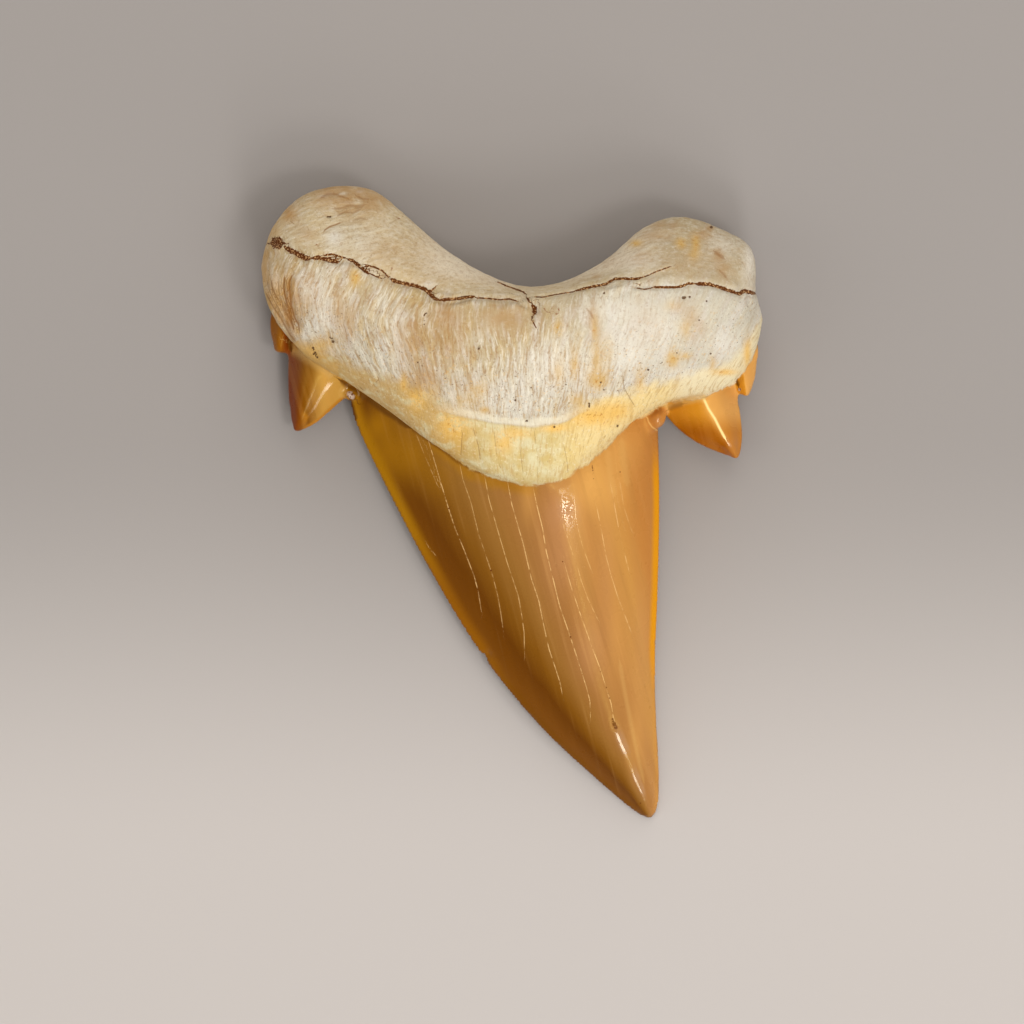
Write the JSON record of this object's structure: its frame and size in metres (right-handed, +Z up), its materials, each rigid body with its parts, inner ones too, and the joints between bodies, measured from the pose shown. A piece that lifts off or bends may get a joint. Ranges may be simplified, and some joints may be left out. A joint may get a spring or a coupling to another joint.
{
  "type": "fossil shark tooth",
  "caption": "Fossil shark tooth with a broad lobed root, a slanting triangular crown and small cusplets beside it, lying on its labial face.",
  "frame": {"origin": "middle of the tooth's length and width, on the surface it lies on", "axes": "+X across the tooth, +Y from the crown's tip towards the root's lobes, +Z up from the labial face it lies on to the lingual face"},
  "size_m": [0.0476, 0.06, 0.0163],
  "materials": {
    "fossil": "satin"
  },
  "bodies": {
    "root": {"shark_tooth": "fossil"}
  },
  "joints": []
}
